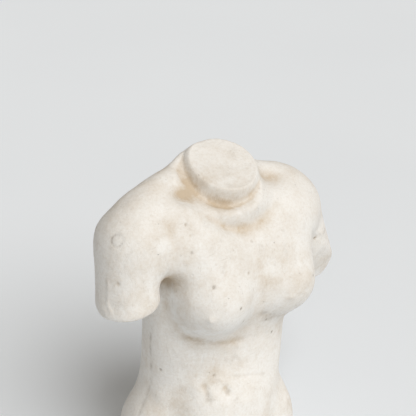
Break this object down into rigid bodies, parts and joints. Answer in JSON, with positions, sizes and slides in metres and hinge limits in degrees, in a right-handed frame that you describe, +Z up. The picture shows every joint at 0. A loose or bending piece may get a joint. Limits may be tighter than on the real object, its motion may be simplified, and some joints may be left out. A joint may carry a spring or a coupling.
{
  "type": "plaster torso cast",
  "caption": "Headless plaster cast of a classical female torso for drawing from, with short arm stumps, cut level at the hips on a closed base.",
  "frame": {"origin": "middle of the underside of the cork pad, below the middle of the chest", "axes": "+Z up; -Y is the way the chest faces; +X is the figure's own left"},
  "size_m": [0.4167, 0.2132, 0.4621],
  "materials": {
    "plaster": "dry matt plaster with an old warm patina",
    "plaster_stopping": "matt filling plaster, scraped flush",
    "scrim_plaster": "rough plaster with hessian fibres in it",
    "pine": "sawn, unfinished",
    "plywood": "bare sheet with sanded edges",
    "zinc_steel": "dull zinc plating",
    "cork": "pressed cork sheet, matt"
  },
  "bodies": {
    "root": {"front_shell": "plaster", "back_shell": "plaster", "right_arm_stump": "plaster", "left_arm_stump": "plaster", "neck_cap": "plaster", "right_arm_plug": "plaster_stopping", "left_arm_plug": "plaster_stopping", "right_shoulder_wad": "scrim_plaster", "left_shoulder_wad": "scrim_plaster", "right_hip_wad": "scrim_plaster", "left_hip_wad": "scrim_plaster", "right_flank_scrim": "scrim_plaster", "left_flank_scrim": "scrim_plaster", "right_shoulder_scrim": "scrim_plaster", "left_shoulder_scrim": "scrim_plaster", "spine_batten": "pine", "shoulder_batten": "pine", "hip_batten": "pine", "base_board": "plywood", "right_arm_screw": "zinc_steel", "left_arm_screw": "zinc_steel", "shoulder_lap_screw": "zinc_steel", "hip_lap_screw": "zinc_steel", "spine_foot_screw": "zinc_steel", "cork_pad": "cork"}
  },
  "joints": []
}
